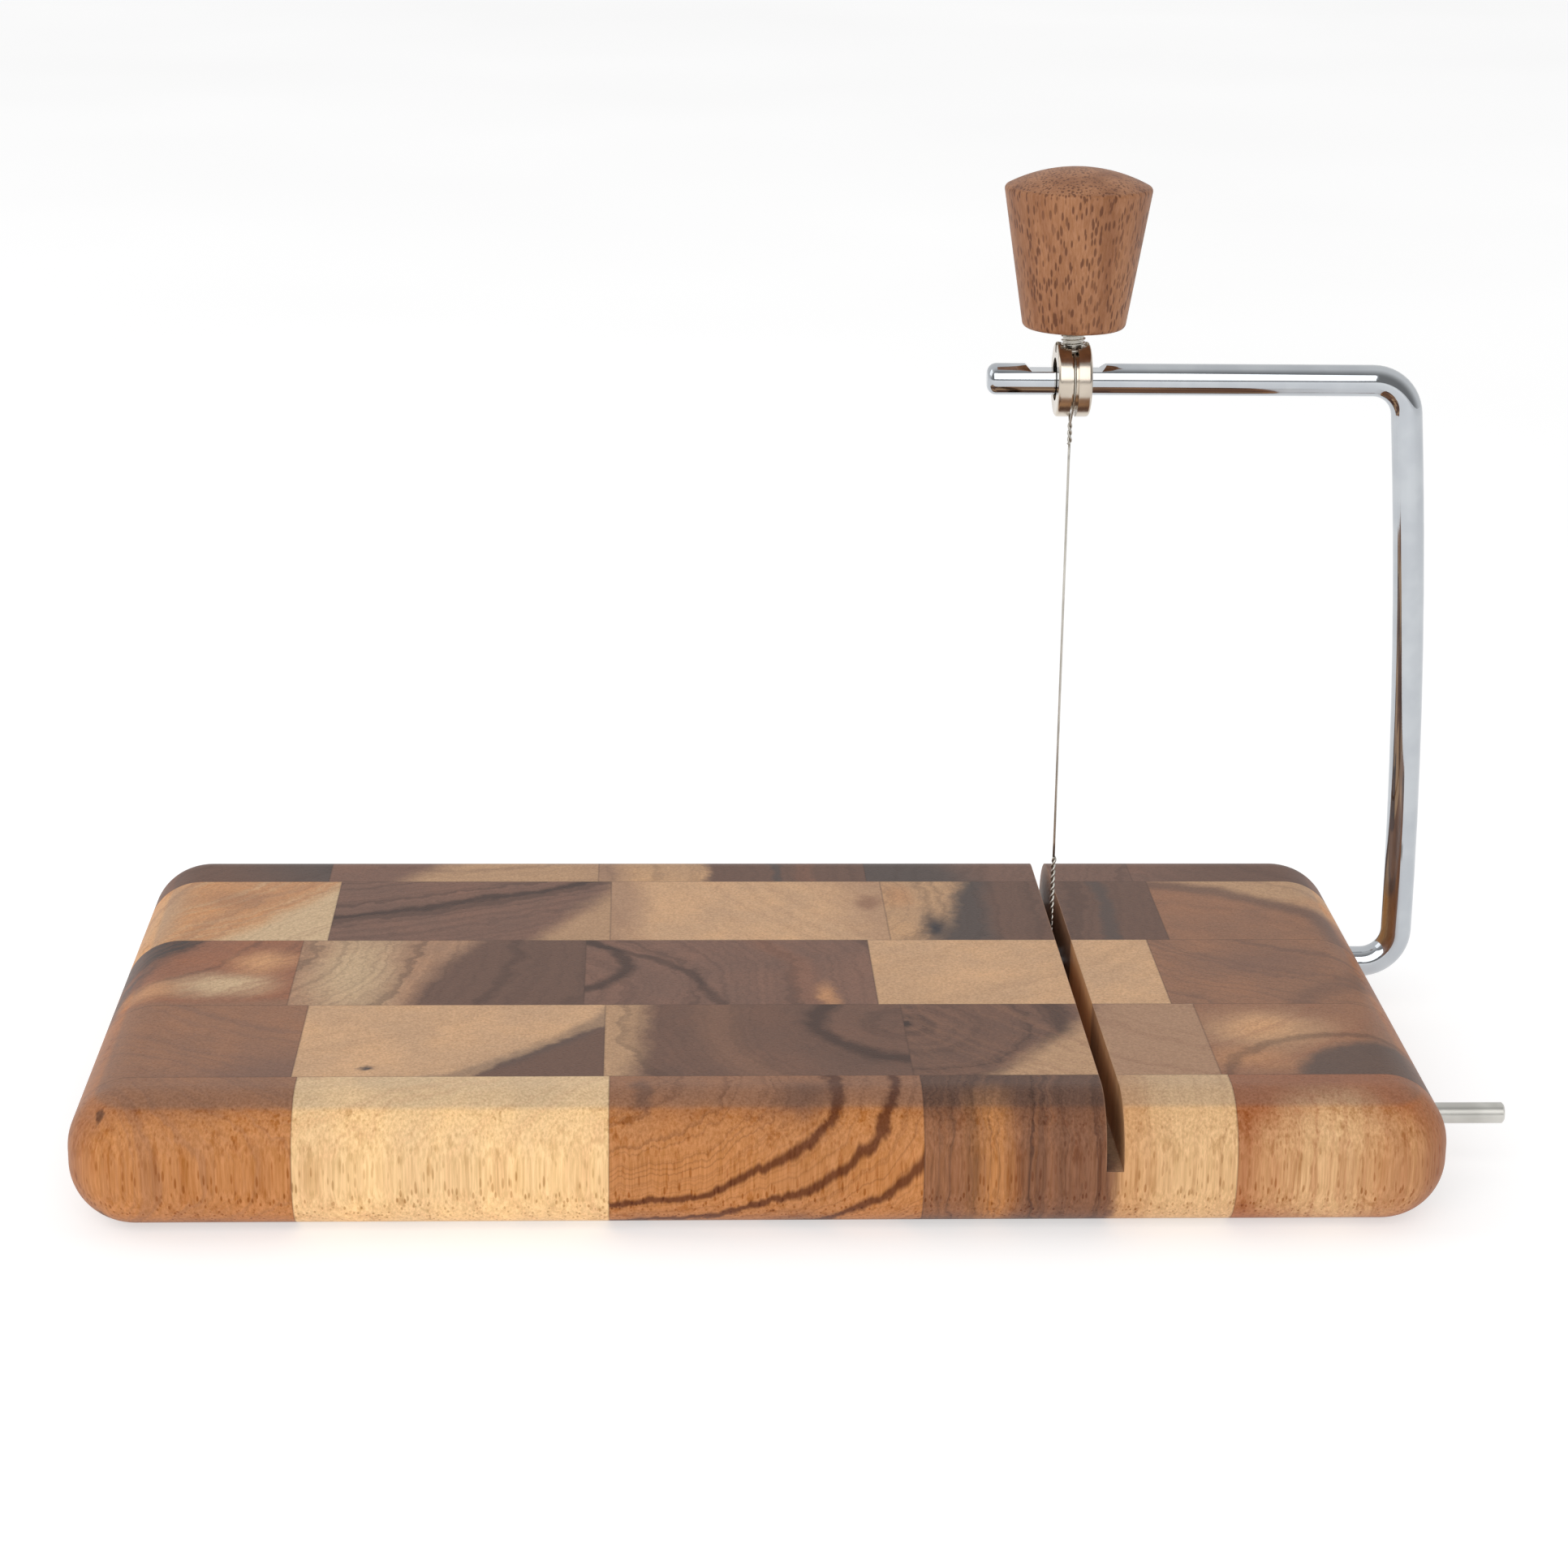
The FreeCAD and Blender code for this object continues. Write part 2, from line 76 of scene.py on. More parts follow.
def rgb(red, green, blue):
    """Screen colour, 0 to 255, as the linear colour a shader takes."""
    linear = []
    for part in (red, green, blue):
        part /= 255.0
        linear.append(part / 12.92 if part <= 0.04045 else ((part + 0.055) / 1.055) ** 2.4)
    return (*linear, 1.0)


UMBER = rgb(62, 40, 31)
SLATE = rgb(84, 70, 64)
WALNUT = rgb(110, 78, 62)
MAUVE = rgb(122, 88, 72)
CHESTNUT = rgb(146, 102, 74)
RUSSET = rgb(150, 96, 66)
FAWN = rgb(168, 128, 98)
TAN = rgb(190, 148, 108)
PEACH = rgb(200, 158, 118)
CREAM = rgb(212, 180, 138)
HONEY = rgb(196, 138, 88)
AMBER = rgb(216, 158, 104)


# ---------------------------------------------------------------------------
# Shader wiring
# ---------------------------------------------------------------------------
class Finish:
    """One procedural material; positions are read in millimetres in the object's own frame."""

    def __init__(self, name):
        self.material = bpy.data.materials.new(name)
        self.material.use_nodes = True
        self.tree = self.material.node_tree
        self.shader = self.tree.nodes["Principled BSDF"]
        self.coord = self.tree.nodes.new("ShaderNodeTexCoord")
        self.place = self.vector("SCALE", self.coord.outputs["Object"], scale=1000.0)

    def feed(self, socket, value):
        if isinstance(value, bpy.types.NodeSocket):
            self.tree.links.new(value, socket)
        else:
            socket.default_value = value

    def math(self, operation, first, second=0.0, third=0.0, clamp=False):
        node = self.tree.nodes.new("ShaderNodeMath")
        node.operation, node.use_clamp = operation, clamp
        for socket, value in zip(node.inputs, (first, second, third)):
            self.feed(socket, value)
        return node.outputs[0]

    def vector(self, operation, first, second=(0.0, 0.0, 0.0), scale=1.0):
        node = self.tree.nodes.new("ShaderNodeVectorMath")
        node.operation = operation
        self.feed(node.inputs[0], first)
        if operation == "SCALE":
            node.inputs[3].default_value = scale
        else:
            self.feed(node.inputs[1], second)
        return node.outputs[1 if operation in ("DOT_PRODUCT", "DISTANCE") else 0]

    def times(self, first, second, clamp=False):
        return self.math("MULTIPLY", first, second, clamp=clamp)

    def stretch(self, vector, by):
        """Positions scaled along each axis: below 1 makes a pattern longer that way."""
        return self.vector("MULTIPLY", vector, by)

    def step(self, value, low, high):
        """Smooth change from 0 at low to 1 at high."""
        node = self.tree.nodes.new("ShaderNodeMapRange")
        node.interpolation_type = "SMOOTHSTEP"
        self.feed(node.inputs["Value"], value)
        turned = low > high
        node.inputs["From Min"].default_value = min(low, high)
        node.inputs["From Max"].default_value = max(low, high)
        node.inputs["To Min"].default_value = 1.0 if turned else 0.0
        node.inputs["To Max"].default_value = 0.0 if turned else 1.0
        return node.outputs["Result"]

    def noise(self, position, size, detail=2.0, roughness=0.5, output="Fac"):
        """Noise whose lumps are about size millimetres across."""
        node = self.tree.nodes.new("ShaderNodeTexNoise")
        self.feed(node.inputs["Vector"], position)
        node.inputs["Scale"].default_value = 1.0 / size
        node.inputs["Detail"].default_value = detail
        node.inputs["Roughness"].default_value = roughness
        return node.outputs[output]

    def cells(self, position, size):
        """Distance to the nearest of a scatter of points, in cells of this size, and its colour."""
        node = self.tree.nodes.new("ShaderNodeTexVoronoi")
        self.feed(node.inputs["Vector"], position)
        node.inputs["Scale"].default_value = 1.0 / size
        return node.outputs["Distance"], node.outputs["Color"]

    def mix(self, factor, under, over, blend="MIX"):
        node = self.tree.nodes.new("ShaderNodeMix")
        node.data_type, node.blend_type = "RGBA", blend
        sockets = [s for s in node.inputs if s.type == "RGBA"]
        self.feed(node.inputs["Factor"], factor)
        self.feed(sockets[0], under)
        self.feed(sockets[1], over)
        return next(s for s in node.outputs if s.type == "RGBA")

    def tint(self, colour, hue=0.5, saturation=1.0, value=1.0):
        node = self.tree.nodes.new("ShaderNodeHueSaturation")
        node.inputs["Hue"].default_value = hue
        node.inputs["Saturation"].default_value = saturation
        node.inputs["Value"].default_value = value
        self.feed(node.inputs["Color"], colour)
        return node.outputs["Color"]

    def axis(self, vector, index):
        node = self.tree.nodes.new("ShaderNodeSeparateXYZ")
        self.feed(node.inputs[0], vector)
        return node.outputs[index]

    def bump(self, height, strength, depth):
        node = self.tree.nodes.new("ShaderNodeBump")
        node.inputs["Strength"].default_value = strength
        node.inputs["Distance"].default_value = depth
        self.feed(node.inputs["Height"], height)
        self.feed(self.shader.inputs["Normal"], node.outputs["Normal"])

    def set(self, **values):
        for name, value in values.items():
            self.feed(self.shader.inputs[name.replace("_", " ")], value)


# ---------------------------------------------------------------------------
# Acacia: marks are laid on a ground colour in turn, in board millimetres
# ---------------------------------------------------------------------------
def beyond(x, y, heading, colour, soft=3.0, strength=1.0):
    """Colour on the far side of a line through x, y; heading in degrees points into it."""
    return ("beyond", x, y, heading, colour, soft, strength)


def spot(x, y, wide, deep, colour, soft=0.4, strength=1.0):
    return ("spot", x, y, wide, deep, colour, soft, strength)


def ring(x, y, radius, width, colour=UMBER, strength=0.6):
    return ("ring", x, y, radius, width, colour, strength)


WHOLE_BLOCK = 200.0


def rings(x, y, pitch, colour=UMBER, strength=0.35, reach=WHOLE_BLOCK):
    """Growth rings about x, y, fading out at reach unless they cover the whole block."""
    return ("rings", x, y, pitch, colour, strength, reach)


def slanting(x, z, pitch, colour=UMBER, strength=0.6):
    """Growth rings that cross the front face on a slant."""
    return ("slanting", x, z, pitch, colour, strength)


BLOCKS = {
    "a1": (SLATE, [beyond(-100, 60, 200, WALNUT, 12), rings(-140, 90, 9, UMBER, 0.25)]),
    "a2": (MAUVE, [beyond(-68, 58, -35, TAN, 5), rings(-60, 120, 7, WALNUT, 0.35),
                   beyond(-38, 70, 30, FAWN, 8, 0.6)]),
    "a3": (TAN, [beyond(-9, 60, 0, WALNUT, 1.6), spot(-29, 60, 5, 14, FAWN, 0.8),
                 ring(160, 60, 154, 1.6, SLATE, 0.9), ring(160, 60, 148, 3.0, RUSSET, 0.35),
                 rings(160, 60, 5, UMBER, 0.3)]),
    "a4": (SLATE, [beyond(46, 62, 15, MAUVE, 6), rings(130, 40, 8, UMBER, 0.4)]),
    "a5": (MAUVE, [beyond(92, 60, 10, WALNUT, 8), rings(160, 130, 10, UMBER, 0.25)]),
    "b1": (HONEY, [rings(-150, 80, 3.2, CREAM, 0.5), beyond(-97, 32, -33, CREAM, 4),
                   spot(-122, 34, 6, 22, TAN, 0.8), spot(-108, 40, 9, 6, CHESTNUT, 1.0, 0.5),
                   rings(-40, -10, 5.5, CHESTNUT, 0.45)]),
    "b2": (MAUVE, [rings(-104, 150, 8.5, UMBER, 0.75), ring(-104, 150, 121, 2.2, UMBER, 0.8),
                   beyond(-37, 28, -24, TAN, 3.5, 0.85)]),
    "b3": (PEACH, [beyond(-22, 30, 180, FAWN, 5, 0.8), beyond(20, 34, 12, FAWN, 7, 0.6),
                   rings(120, 100, 6, CHESTNUT, 0.22), spot(25, 38, 3, 5, CHESTNUT, 0.8, 0.8)]),
    "b4": (TAN, [spot(31, 42, 4, 9, HONEY, 0.9, 0.7), beyond(42, 34, -12, SLATE, 3),
                 beyond(50, 34, -4, WALNUT, 3), spot(37.5, 22, 3.2, 8.5, rgb(44, 42, 50), 1.0),
                 rings(-40, 40, 7.5, UMBER, 0.5), ring(-40, 30, 115, 3.0, SLATE, 0.8)]),
    "b5": (CHESTNUT, [beyond(106, 42, 62, TAN, 5), ring(84, 10, 38, 5, WALNUT, 0.75),
                      rings(84, 0, 9, WALNUT, 0.3), spot(122, 40, 6, 5, HONEY, 0.9, 0.8)]),
    "c1": (RUSSET, [beyond(-117, 4, 150, rgb(72, 58, 52), 2.5),
                    beyond(-121, -4, 175, SLATE, 3, 0.8), rings(-140, 30, 5, UMBER, 0.45),
                    spot(-104, -9, 11, 7, CREAM, 0.9, 0.95), spot(-97, 3, 7, 6, AMBER, 0.9, 0.85),
                    rings(-60, -60, 6, RUSSET, 0.6), spot(-118, -12, 6, 6, AMBER, 1.0, 0.6),
                    beyond(-105, -18.5, -90, CHESTNUT, 2)]),
    "c2": (FAWN, [spot(-79, -2, 9, 30, CREAM, 0.9, 0.8), rings(-120, 60, 6, FAWN, 0.35, 80),
                  beyond(-62, -3, -22, WALNUT, 3.5), rings(-125, 10, 9, UMBER, 0.5)]),
    "c3": (MAUVE, [ring(-40, 2, 15, 2.6, UMBER, 0.8), ring(-50, -26, 43, 2.0, UMBER, 0.6),
                   rings(-46, -12, 8.5, UMBER, 0.5), ring(-50, -20, 62, 4, RUSSET, 0.35),
                   spot(15, -17, 2.4, 7, HONEY, 0.9, 0.9)]),
    "c4": (PEACH, [rings(-20, 90, 7, TAN, 0.5), beyond(40, -12, 225, TAN, 14, 0.5)]),
    "c5": (CHESTNUT, [rings(140, 60, 7, WALNUT, 0.7), spot(104, 2, 16, 9, MAUVE, 1.0, 0.6),
                      ring(150, -50, 52, 5, WALNUT, 0.5)]),
    "d1": (CHESTNUT, [rings(-60, 40, 4.5, MAUVE, 0.5), beyond(-96, -50, -60, MAUVE, 9, 0.8)]),
    "d2": (PEACH, [rings(-110, 40, 6, TAN, 0.45), beyond(-43, -46, -42, WALNUT, 1.0),
                   ring(-95, 5, 73, 4, SLATE, 0.5), spot(-73, -52.5, 1.8, 1.1, SLATE, 0.9)]),
    "d3": (WALNUT, [beyond(-23, -40, 176, TAN, 3.4), rings(29, -31, 8.5, UMBER, 0.4),
                    ring(29, -31, 17.5, 3.4, UMBER, 0.8), ring(29, -31, 38, 7, CHESTNUT, 0.4)]),
    "d4": (WALNUT, [rings(29.3, -31.5, 5.5, UMBER, 0.65, 34), ring(29.3, -31.5, 29, 4, UMBER, 0.7),
                    beyond(55, -41, -38, TAN, 3.4), beyond(66, -40, 0, FAWN, 1.5, 0.8),
                    rings(110, 10, 4, CHESTNUT, 0.45), spot(29.3, -31.5, 2.1, 1.8, UMBER, 0.6)]),
    "d5": (CHESTNUT, [spot(97, -34, 14, 11, TAN, 0.8), spot(96, -33, 9, 7, AMBER, 1.0, 0.8),
                      spot(93, -48, 9, 6, HONEY, 1.0, 0.7), rings(60, 10, 4, RUSSET, 0.4),
                      spot(116, -62, 18, 21, SLATE, 0.14, 0.82),
                      ring(110, -62, 24, 2.0, UMBER, 0.4), beyond(125, -50, 5, CHESTNUT, 3, 0.6)]),
    "e1": (CHESTNUT, [beyond(-105, -68.5, -90, HONEY, 3, 0.5), rings(-60, -20, 5, MAUVE, 0.45),
                      spot(-121.5, -67, 1.3, 1.0, UMBER, 0.5, 0.7)]),
    "e2": (CREAM, [rings(-100, 10, 8, PEACH, 0.6)]),
    "e3": (CHESTNUT, [beyond(0, -68.5, -90, HONEY, 3, 0.45),
                      slanting(-34, 38, 5.2, rgb(84, 44, 24), 0.9),
                      spot(8, -64, 7, 5, WALNUT, 0.9, 0.8),
                      spot(-23, -64, 2, 5, WALNUT, 0.9, 0.8)]),
    "e4": (UMBER, [spot(44, -64, 40, 20, WALNUT, 0.5, 0.7),
                   beyond(40, -68.5, -90, CHESTNUT, 3, 0.85),
                   spot(42, -71, 4.5, 9, HONEY, 0.9, 0.6), beyond(48, -69, 0, WALNUT, 2, 0.6),
                   rings(-200, -60, 2.6, UMBER, 0.75), rings(-200, -50, 7, UMBER, 0.5),
                   beyond(65, -64, 0, TAN, 1.2), beyond(71, -64, 0, CREAM, 4, 0.6),
                   rings(-260, -50, 1.8, CHESTNUT, 0.35)]),
    "e5": (RUSSET, [beyond(105, -68.5, -90, TAN, 3, 0.75), rings(60, -140, 6, CHESTNUT, 0.45),
                    spot(102, -70, 9, 7, CREAM, 1.0, 0.6), spot(88, -66, 3, 9, RUSSET, 0.9, 0.8),
                    beyond(119, -66, 5, CHESTNUT, 4, 0.8), rings(-300, -70, 2.2, RUSSET, 0.6)]),
}


def growth(finish, away, pitch, grainy):
    """Growth rings of uneven width and weight along a distance."""
    drift = finish.math("MULTIPLY_ADD", grainy, 0.8 * pitch, away)
    node = finish.tree.nodes.new("ShaderNodeCombineXYZ")
    finish.feed(node.inputs[0], drift)
    return finish.step(finish.noise(node.outputs[0], 0.8 * pitch, 3.0, 0.6), 0.46, 0.68)


def lay_mark(finish, colour, place, mark, grainy):
    """One mark of a block's figure, mixed over the colour so far."""
    kind = mark[0]
    flat = finish.stretch(place, (1.0, 1.0, 0.0))
    if kind == "beyond":
        _, x, y, heading, paint, soft, strength = mark
        way = (math.cos(math.radians(heading)), math.sin(math.radians(heading)), 0.0)
        along = finish.vector("DOT_PRODUCT", flat, way)
        start = x * way[0] + y * way[1]
        factor = finish.step(along, start - soft, start + soft)
    elif kind == "spot":
        _, x, y, wide, deep, paint, soft, strength = mark
        scaled = finish.stretch(flat, (1.0 / wide, 1.0 / deep, 0.0))
        away = finish.vector("DISTANCE", scaled, (x / wide, y / deep, 0.0))
        factor = finish.step(away, 1.0 + soft * 0.5, max(0.0, 1.0 - soft))
    elif kind == "ring":
        _, x, y, radius, width, paint, strength = mark
        away = finish.vector("DISTANCE", flat, (x, y, 0.0))
        off = finish.math("ABSOLUTE", finish.math("SUBTRACT", away, radius))
        factor = finish.step(off, width, width * 0.15)
    elif kind == "slanting":
        _, x, z, pitch, paint, strength = mark
        wide, deep, front = 0.60, 0.30, -70.0
        upright = finish.stretch(place, (wide, deep, 1.0))
        away = finish.vector("DISTANCE", upright, (wide * x, deep * front, z))
        factor = finish.times(growth(finish, away, pitch * 0.22, grainy), 0.45)
        innermost = 31.0
        for turn in range(4):
            radius = innermost + turn * pitch * (1.0 + 0.12 * turn)
            off = finish.math("ABSOLUTE", finish.math("SUBTRACT", away, radius))
            factor = finish.math("MAXIMUM", factor, finish.step(off, 1.25, 0.25))
    else:
        _, x, y, pitch, paint, strength, reach = mark
        away = finish.vector("DISTANCE", flat, (x, y, 0.0))
        factor = growth(finish, away, pitch, grainy)
        fine = growth(finish, away, pitch * 0.27, grainy)
        factor = finish.math("MAXIMUM", factor, finish.times(fine, 0.6))
        if reach < WHOLE_BLOCK:
            factor = finish.times(factor, finish.step(away, reach, reach * 0.8))
    return finish.mix(finish.times(factor, strength), colour, paint)


def glue_lines(finish, name):
    """Thin dark line along a block's glued sides; the board's own outline has none."""
    low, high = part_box(name)
    factor = 0.0
    for index in range(2):
        across = finish.axis(finish.place, index)
        for side, limit in ((low[index], cad_low[index]), (high[index], -cad_low[index])):
            if abs(side - limit) < 0.001:
                continue
            gap = finish.math("ABSOLUTE", finish.math("SUBTRACT", across, side * 1000.0))
            factor = finish.math("MAXIMUM", factor, finish.step(gap, 0.28, 0.05))
    return factor


def acacia(letter, ground, marks):
    """End-grain acacia: grain runs up and down, pores are dots on top and dashes on the edges."""
    name = "board_block_" + letter
    finish = Finish("acacia_" + letter)
    # the grain stands upright, so every pattern is stretched along Z
    grain = finish.stretch(finish.place, (1.0, 1.0, 0.10))
    wander = finish.noise(grain, 26.0, 2.0, 0.55, "Color")
    shift = finish.vector("SCALE", finish.vector("SUBTRACT", wander, (0.5, 0.5, 0.5)), scale=9.0)
    figure = finish.vector("ADD", finish.place, shift)
    feather = finish.noise(finish.stretch(finish.place, (1.0, 1.0, 0.12)), 2.6, 3.0, 0.6,
                           "Color")
    shift = finish.vector("SCALE", finish.vector("SUBTRACT", feather, (0.5, 0.5, 0.5)), scale=3.2)
    figure = finish.vector("ADD", figure, shift)
    ripple = finish.noise(grain, 5.0, 3.0, 0.6)
    colour = finish.mix(finish.step(finish.noise(grain, 14.0, 4.0, 0.6), 0.3, 0.75),
                        ground, finish.tint(ground, 0.5, 1.06, 1.22))
    for mark in marks:
        colour = lay_mark(finish, colour, figure, mark, ripple)
    # fibres: fine streaks down the edges, fine speckle on the cut face
    fibre_place = finish.stretch(finish.place, (1.0, 1.0, 0.045))
    fibre = finish.noise(fibre_place, 0.5, 3.0, 0.65)
    streak = finish.noise(finish.stretch(finish.place, (1.0, 1.0, 0.03)), 1.5, 3.0, 0.6)
    patch = finish.noise(finish.place, 9.0, 2.0, 0.5)
    colour = finish.mix(finish.step(fibre, 0.32, 0.70), finish.tint(colour, 0.5, 1.04, 0.86),
                        finish.tint(colour, 0.5, 0.98, 1.12))
    # cut face against turned edge
    upward = finish.math("ABSOLUTE", finish.axis(finish.coord.outputs["Normal"], 2))
    face = finish.step(upward, 0.80, 0.88)
    turned = finish.math("SUBTRACT", 1.0, face)
    run = finish.times(finish.step(streak, 0.50, 0.66), finish.step(patch, 0.35, 0.6))
    run = finish.times(run, finish.math("MULTIPLY_ADD", turned, 0.42, 0.10))
    colour = finish.mix(run, colour, finish.tint(colour, 0.49, 1.20, 0.58))
    # pores: dots on the cut face, dashes crowding the lower half of the edges
    away, chance = finish.cells(finish.stretch(finish.place, (1.0, 1.0, 0.20)), 0.72)
    pores = finish.times(finish.step(away, 0.38, 0.22),
                        finish.step(finish.axis(chance, 0), 0.36, 0.44))
    pores = finish.times(pores, finish.math("MULTIPLY_ADD", patch, 1.0, 0.25), clamp=True)
    crowd = finish.math("MULTIPLY_ADD", finish.step(finish.axis(figure, 2), 17.0, 9.0), 0.42, 0.36)
    pore_depth = finish.math("MULTIPLY_ADD", turned, finish.math("SUBTRACT", crowd, 0.22), 0.22)
    pore_depth = finish.times(pores, pore_depth)
    colour = finish.mix(pore_depth, colour, finish.tint(colour, 0.485, 1.30, 0.45))
    # painted light: the turned edges are painted lighter and warmer, and the cut face greyer and
    # darker as a painted sheen
    colour = finish.mix(face, finish.tint(colour, 0.499, 1.06, 1.27),
                        finish.tint(colour, 0.50, 0.94, 0.96))
    colour = finish.mix(finish.times(glue_lines(finish, name), 0.35), colour, UMBER)
    if letter[1] == "4":
        # fresh-sawn wood on the slot's walls, above its floor
        across, height = finish.axis(finish.place, 0), finish.axis(finish.place, 2)
        wall = finish.math("ABSOLUTE", finish.math("SUBTRACT", across, line.x * 1000.0))
        sawn = finish.times(finish.step(wall, SLOT_HALF + 0.25, SLOT_HALF + 0.02), 0.40)
        sawn = finish.times(sawn, finish.step(height, SLOT_FLOOR - 0.4, SLOT_FLOOR + 0.6))
        colour = finish.mix(sawn, colour, FAWN)
    gloss = finish.math("MULTIPLY_ADD", fibre, 0.16, 0.38)
    finish.set(Base_Color=colour, Roughness=gloss, Specular_IOR_Level=0.16)
    height = finish.math("SUBTRACT", finish.times(fibre, 0.35), pores)
    finish.bump(height, 0.35, 0.00012)
    return finish.material


def knob_wood():
    """Turned hardwood with the grain up the knob: dark pore dashes and fine ring lines."""
    finish = Finish("knob_wood")
    place = finish.place
    long_grain = finish.stretch(place, (1.0, 1.0, 0.05))
    ring_place = finish.stretch(place, (0.10, 1.0, 0.03))
    tone = finish.noise(long_grain, 5.0, 3.0, 0.55)
    colour = finish.mix(finish.step(tone, 0.3, 0.7), rgb(142, 94, 63), rgb(170, 119, 84))
    lines = finish.noise(ring_place, 0.9, 3.0, 0.6)
    colour = finish.mix(finish.times(finish.step(lines, 0.45, 0.75), 0.25),
                        colour, rgb(122, 72, 46))
    fibre = finish.noise(long_grain, 0.4, 3.0, 0.65)
    colour = finish.mix(finish.step(fibre, 0.3, 0.7), finish.tint(colour, 0.5, 1.05, 0.87),
                        finish.tint(colour, 0.5, 0.97, 1.12))
    crowd = finish.noise(finish.stretch(place, (1.0, 1.0, 0.3)), 8.0, 2.0, 0.5)
    away, chance = finish.cells(finish.stretch(place, (1.0, 1.0, 0.20)), 0.66)
    pores = finish.times(finish.step(away, 0.42, 0.26),
                        finish.step(finish.axis(chance, 0), 0.22, 0.30))
    away, chance = finish.cells(finish.stretch(place, (1.0, 1.0, 0.24)), 0.92)
    large = finish.times(finish.step(away, 0.38, 0.24),
                        finish.step(finish.axis(chance, 0), 0.30, 0.38))
    pores = finish.math("MAXIMUM", pores, large)
    pores = finish.times(pores, finish.math("MULTIPLY_ADD", finish.step(crowd, 0.30, 0.55),
                                                       0.65, 0.35))
    colour = finish.mix(finish.times(pores, 0.80), colour, rgb(92, 52, 32))
    finish.set(Base_Color=colour, Roughness=finish.math("MULTIPLY_ADD", fibre, 0.15, 0.42),
               Specular_IOR_Level=0.25)
    finish.bump(finish.math("SUBTRACT", finish.times(fibre, 0.3), pores), 0.35, 0.0001)
    return finish.material


# ---------------------------------------------------------------------------
# Metals, plated or bare
# ---------------------------------------------------------------------------
def metal(name, dark, light, roughness, spread, stretch, size, depth):
    """Bare or plated metal with fine marks, long where stretch is small."""
    finish = Finish(name)
    marks = finish.noise(finish.stretch(finish.place, stretch), size, 4.0, 0.65)
    clouds = finish.noise(finish.place, 6.0, 2.0, 0.5)
    colour = finish.mix(finish.step(clouds, 0.3, 0.7), dark, light)
    finish.set(Base_Color=colour, Metallic=1.0,
               Roughness=finish.math("MULTIPLY_ADD", marks, spread, roughness))
    finish.bump(marks, 0.25, depth)
    return finish.material


chrome = metal("bright_chrome", rgb(184, 188, 193), rgb(192, 196, 200), 0.03, 0.05,
               (1.0, 1.0, 1.0), 0.8, 0.000004)
collar_nickel = metal("turned_satin_nickel", rgb(196, 184, 170), rgb(210, 199, 184), 0.14, 0.14,
                      (1.0, 0.02, 0.02), 0.22, 0.00003)
pin_steel = metal("satin_stainless", rgb(190, 188, 182), rgb(208, 206, 200), 0.24, 0.14,
                  (0.04, 1.0, 1.0), 0.25, 0.00002)
stud_steel = metal("plated_thread", rgb(196, 192, 184), rgb(214, 210, 204), 0.18, 0.12,
                   (1.0, 1.0, 1.0), 0.4, 0.00001)
wire_steel = metal("drawn_wire", rgb(176, 172, 164), rgb(200, 196, 188), 0.22, 0.12,
                   (1.0, 1.0, 0.1), 0.3, 0.000006)


def dress(name, material):
    """A carried-over node shows this material only."""
    mesh = nodes[name].data
    mesh.materials.clear()
    mesh.materials.append(material)


for letter, (ground, marks) in BLOCKS.items():
    dress("board_block_" + letter, acacia(letter, ground, marks))
dress("knob", knob_wood())
dress("cutter_arm", chrome)
dress("tension_collar", collar_nickel)
dress("stop_pin", pin_steel)


# ---------------------------------------------------------------------------
# Wire ends, the free span and the threaded stud
# ---------------------------------------------------------------------------
def tube(bm, points, radius, sides=10):
    """Round wire along points, closed at both ends."""
    heading = (points[1] - points[0]).normalized()
    turn = heading.to_track_quat("Z", "Y").to_matrix().to_4x4()
    start = bmesh.ops.create_circle(bm, segments=sides, radius=radius,
                                    matrix=Matrix.Translation(points[0]) @ turn)
    edges = list({edge for vert in start["verts"] for edge in vert.link_edges})
    ends = [edges]
    for index in range(1, len(points)):
        step = points[index] - points[index - 1]
        leaving = points[min(index + 1, len(points) - 1)] - points[index]
        onward = (step.normalized() + leaving.normalized()).normalized()
        grown = bmesh.ops.extrude_edge_only(bm, edges=edges)["geom"]
        verts = [part for part in grown if isinstance(part, bmesh.types.BMVert)]
        fresh = set(verts)
        edges = [part for part in grown if isinstance(part, bmesh.types.BMEdge)
                 and all(vert in fresh for vert in part.verts)]
        bmesh.ops.translate(bm, vec=step, verts=verts)
        bmesh.ops.rotate(bm, cent=points[index], verts=verts,
                         matrix=heading.rotation_difference(onward).to_matrix())
        heading = onward
    ends.append(edges)
    for loop in ends:
        bmesh.ops.contextual_create(bm, geom=loop)


def finished(bm, name, material, body, slot, *stands_for, smooth=True):
    """Mesh object from a bmesh, riding on its body in place of the CAD nodes."""
    bmesh.ops.remove_doubles(bm, verts=bm.verts, dist=1e-7)
    bmesh.ops.recalc_face_normals(bm, faces=bm.faces)
    for face in bm.faces:
        face.smooth = smooth
    mesh = bpy.data.meshes.new(name)
    bm.to_mesh(mesh)
    bm.free()
    piece = bpy.data.objects.new(name, mesh)
    bpy.context.scene.collection.objects.link(piece)
    mesh.materials.append(material)
    if body:
        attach(piece, body)
    if stands_for:
        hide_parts(*stands_for)
    return piece


# radii and lengths in metres: the wire, its strands' offset in a twist, and one turn of a twist
WIRE = 0.00025
LAY = 0.00024
TWIST_PITCH = 0.0028
LOOP_RADIUS = 0.00313
EYE_RADIUS = 0.00305
GROOVE_RADIUS = 0.0065
COLLAR_RADIUS = 0.0075
lower_low, lower_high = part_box("wire_lower_end")
upper_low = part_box("wire_upper_end")[0]
pivot = Vector((line.x, line.y, lower_low.z + LOOP_RADIUS + WIRE))
collar_axis = Vector((line.x, line.y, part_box("tension_collar")[0].z + COLLAR_RADIUS))


